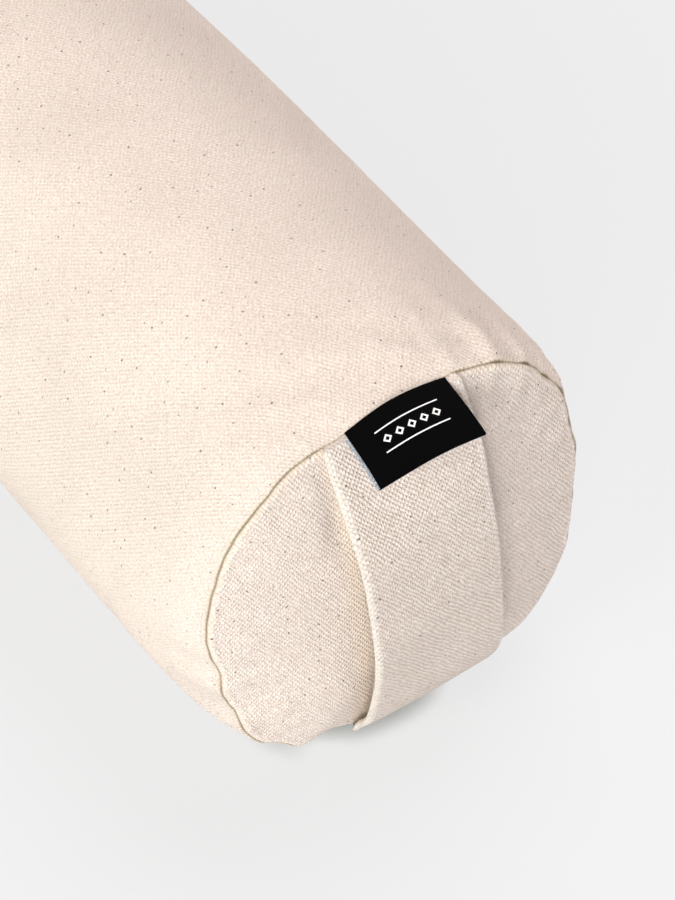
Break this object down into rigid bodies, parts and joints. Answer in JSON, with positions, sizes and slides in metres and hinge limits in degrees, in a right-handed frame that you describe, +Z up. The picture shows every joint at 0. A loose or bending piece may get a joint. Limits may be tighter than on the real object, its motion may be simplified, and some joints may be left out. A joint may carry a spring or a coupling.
{
  "type": "bolster pillow",
  "caption": "Round, firmly filled floor bolster in natural canvas, with a zipped cover and a fabric carry strap across one end.",
  "frame": {"origin": "centre of the flat strip that the bolster rests on", "axes": "+Z up, +Y along the bolster from the strap end to the plain end, +X to the side with the zip"},
  "size_m": [0.2319, 0.6693, 0.2104],
  "materials": {
    "canvas": "unbleached plain-weave cotton canvas with small dark seed flecks, matte",
    "label_ribbon": "black damask-woven ribbon, fine rib, slight satin sheen",
    "care_ribbon": "white satin ribbon, blank",
    "zip_tape": "herringbone polyester tape, matte",
    "zip_coil": "nylon coil, semi-matte",
    "zip_metal": "nickel-plated zinc, satin",
    "liner": "plain undyed cotton, matte",
    "filling": "cotton batting"
  },
  "bodies": {
    "cover": {"cover_body_panel": "canvas", "cover_end_panel_front": "canvas", "cover_end_panel_rear": "canvas", "handle_strap_top_end": "canvas", "handle_strap_bottom_end": "canvas", "zip_tape_upper": "zip_tape", "zip_tape_lower": "zip_tape", "zip_coil_upper": "zip_coil", "zip_coil_lower": "zip_coil", "zip_top_stop_upper": "zip_metal", "zip_top_stop_lower": "zip_metal", "zip_bottom_stop": "zip_metal", "care_label": "care_ribbon", "liner_body_panel": "liner", "liner_end_panel_front": "liner", "liner_end_panel_rear": "liner", "fill_core": "filling"},
    "strap_grip": {"handle_strap_grip": "canvas"},
    "label": {"woven_label": "label_ribbon"},
    "zip_slider": {"zip_slider_body": "zip_metal"},
    "zip_pull": {"zip_pull_tab": "zip_metal"}
  },
  "joints": [
    {"name": "strap_lift", "type": "slide", "parent": "cover", "child": "strap_grip", "axis": [0, -1, 0], "range_m": [-0.004, 0.028]},
    {"name": "label_flip", "type": "hinge", "parent": "cover", "child": "label", "pos_m": [-0.00784, -0.313, 0.20059], "axis": [-0.9969, 0, -0.0785], "range_deg": [-6, 75], "stiffness_Nm_per_rad": 0.004},
    {"name": "zip_travel", "type": "slide", "parent": "cover", "child": "zip_slider", "axis": [0, 1, 0], "range_m": [0, 0.461]},
    {"name": "pull_swing", "type": "hinge", "parent": "zip_slider", "child": "zip_pull", "pos_m": [0.11558, -0.2307, 0.101], "axis": [0, 0, -1], "range_deg": [0, 180]}
  ]
}
